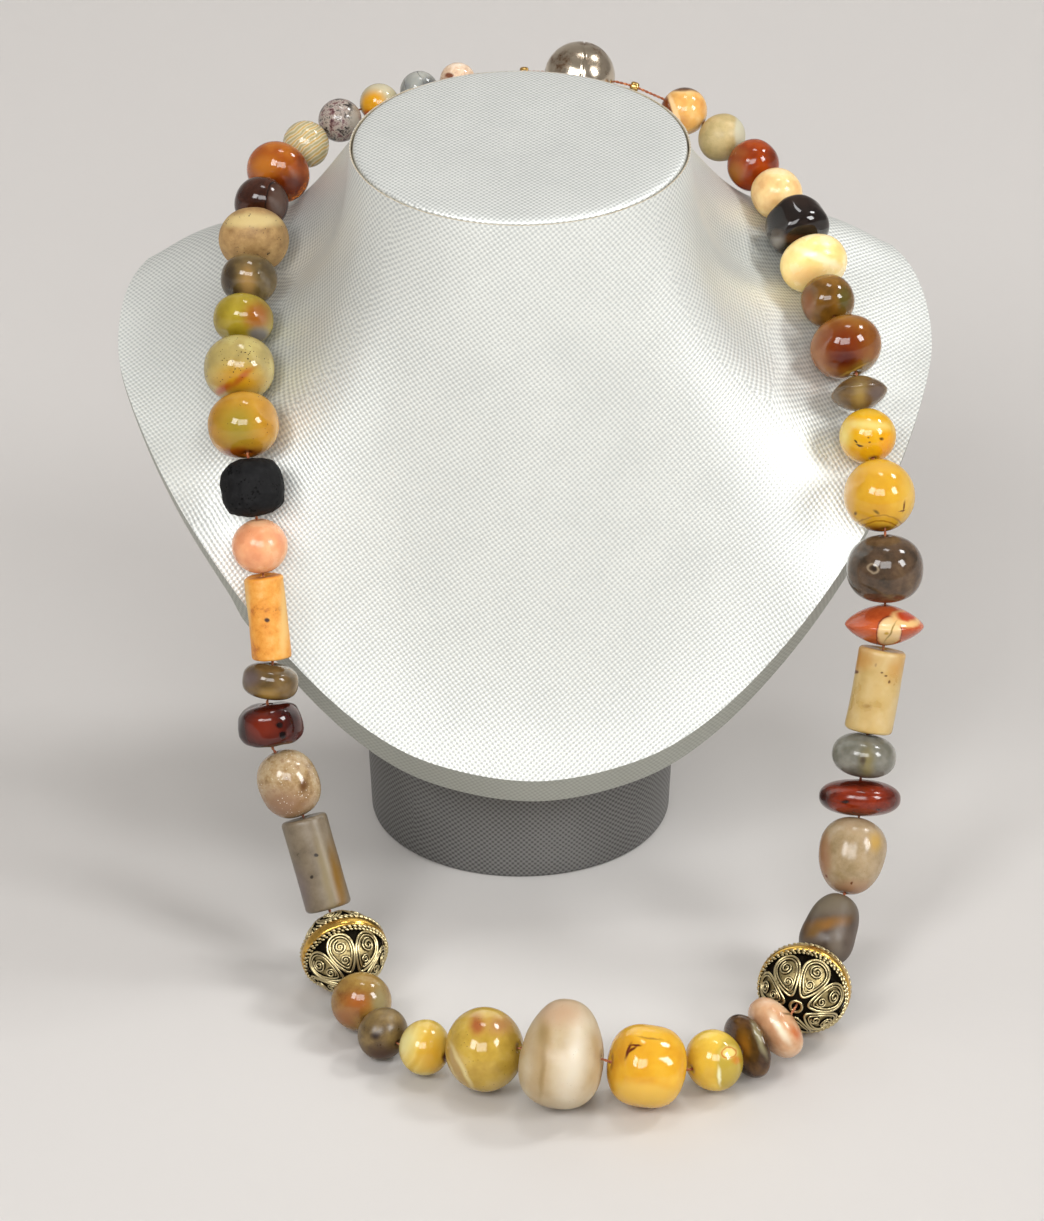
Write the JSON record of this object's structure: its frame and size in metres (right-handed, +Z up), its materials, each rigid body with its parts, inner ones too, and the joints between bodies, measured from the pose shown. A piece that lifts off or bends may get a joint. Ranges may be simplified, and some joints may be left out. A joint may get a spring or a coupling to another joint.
{
  "type": "gemstone bead necklace on a neck display bust",
  "caption": "Long strand of mixed drilled gemstone beads with filigree metal balls and a ball clasp, laid over a padded neck display bust.",
  "frame": {"origin": "centre of the pedestal's underside, on the table", "axes": "+Z up, -Y to the front where the strand lies on the table, +X to the viewer's right"},
  "size_m": [0.208, 0.2369, 0.1919],
  "materials": {
    "clasp_metal": "polished silver-tone metal with brown tarnish",
    "cream_pink_round_stone": "polished agate",
    "grey_round_stone": "polished agate",
    "amber_round_stone": "polished agate",
    "plum_speckled_stone": "polished agate",
    "striped_cream_stone": "polished agate",
    "caramel_round_stone": "polished agate",
    "umber_banded_stone": "polished agate",
    "sand_barrel_stone": "matte pitted agate",
    "smoky_left_stone": "polished agate",
    "olive_yellow_small_stone": "polished agate",
    "speckled_cream_stone": "polished agate",
    "olive_yellow_large_stone": "polished agate",
    "black_lava_stone": "matte pitted lava",
    "salmon_round_stone": "polished agate",
    "ochre_tube_stone": "matte agate",
    "smoky_disc_stone": "polished agate",
    "carnelian_chunk_stone": "polished agate",
    "mottled_oval_stone": "polished agate",
    "grey_olive_tube_stone": "satin agate",
    "russet_round_stone": "polished agate",
    "slate_brown_round_stone": "polished agate",
    "butter_round_stone": "polished agate",
    "bronze_banded_stone": "polished agate",
    "frosted_quartz_stone": "frosted translucent quartz",
    "honey_round_stone": "polished agate",
    "lemon_round_stone": "polished agate",
    "brown_disc_stone": "polished agate",
    "peach_round_stone": "polished agate",
    "grey_ochre_tube_stone": "matte agate",
    "beige_oval_stone": "polished agate",
    "brick_disc_stone": "polished agate",
    "blue_grey_disc_stone": "polished agate",
    "cream_tube_stone": "polished agate",
    "jasper_keel_stone": "polished agate",
    "dark_agate_stone": "polished agate",
    "yolk_banded_stone": "polished agate",
    "mustard_round_stone": "polished agate",
    "smoky_keel_stone": "polished agate",
    "rust_round_stone": "polished agate",
    "olive_brown_round_stone": "polished agate",
    "ivory_round_stone": "polished agate",
    "black_chunk_stone": "polished agate",
    "beige_round_stone": "polished agate",
    "chestnut_round_stone": "polished agate",
    "pale_green_round_stone": "polished agate",
    "tiger_round_stone": "polished agate",
    "gilt_filigree": "antique gilt with black oxide in the recesses",
    "gilt_crimp": "bright gilt",
    "copper_thread": "twisted waxed cord",
    "leatherette": "silver-grey embossed leatherette",
    "dark_leatherette": "darker silver-grey embossed leatherette"
  },
  "bodies": {
    "root": {"clasp_ball": "clasp_metal", "crimp_left": "gilt_crimp", "cream_pink_round": "cream_pink_round_stone", "grey_round": "grey_round_stone", "amber_round": "amber_round_stone", "plum_speckled": "plum_speckled_stone", "striped_cream": "striped_cream_stone", "caramel_round": "caramel_round_stone", "umber_banded": "umber_banded_stone", "sand_barrel": "sand_barrel_stone", "smoky_left": "smoky_left_stone", "olive_yellow_small": "olive_yellow_small_stone", "speckled_cream": "speckled_cream_stone", "olive_yellow_large": "olive_yellow_large_stone", "black_lava": "black_lava_stone", "salmon_round": "salmon_round_stone", "ochre_tube": "ochre_tube_stone", "smoky_disc": "smoky_disc_stone", "carnelian_chunk": "carnelian_chunk_stone", "mottled_oval": "mottled_oval_stone", "grey_olive_tube": "grey_olive_tube_stone", "filigree_left": "gilt_filigree", "russet_round": "russet_round_stone", "slate_brown_round": "slate_brown_round_stone", "butter_round": "butter_round_stone", "bronze_banded": "bronze_banded_stone", "frosted_quartz": "frosted_quartz_stone", "honey_round": "honey_round_stone", "lemon_round": "lemon_round_stone", "brown_disc": "brown_disc_stone", "peach_round": "peach_round_stone", "filigree_right": "gilt_filigree", "grey_ochre_tube": "grey_ochre_tube_stone", "beige_oval": "beige_oval_stone", "brick_disc": "brick_disc_stone", "blue_grey_disc": "blue_grey_disc_stone", "cream_tube": "cream_tube_stone", "jasper_keel": "jasper_keel_stone", "dark_agate": "dark_agate_stone", "yolk_banded": "yolk_banded_stone", "mustard_round": "mustard_round_stone", "smoky_keel": "smoky_keel_stone", "rust_round": "rust_round_stone", "olive_brown_round": "olive_brown_round_stone", "ivory_round": "ivory_round_stone", "black_chunk": "black_chunk_stone", "beige_round": "beige_round_stone", "chestnut_round": "chestnut_round_stone", "pale_green_round": "pale_green_round_stone", "tiger_round": "tiger_round_stone", "crimp_right": "gilt_crimp", "thread": "copper_thread", "bust_body": "leatherette", "bust_cap": "leatherette", "bust_pedestal": "dark_leatherette"}
  },
  "joints": []
}
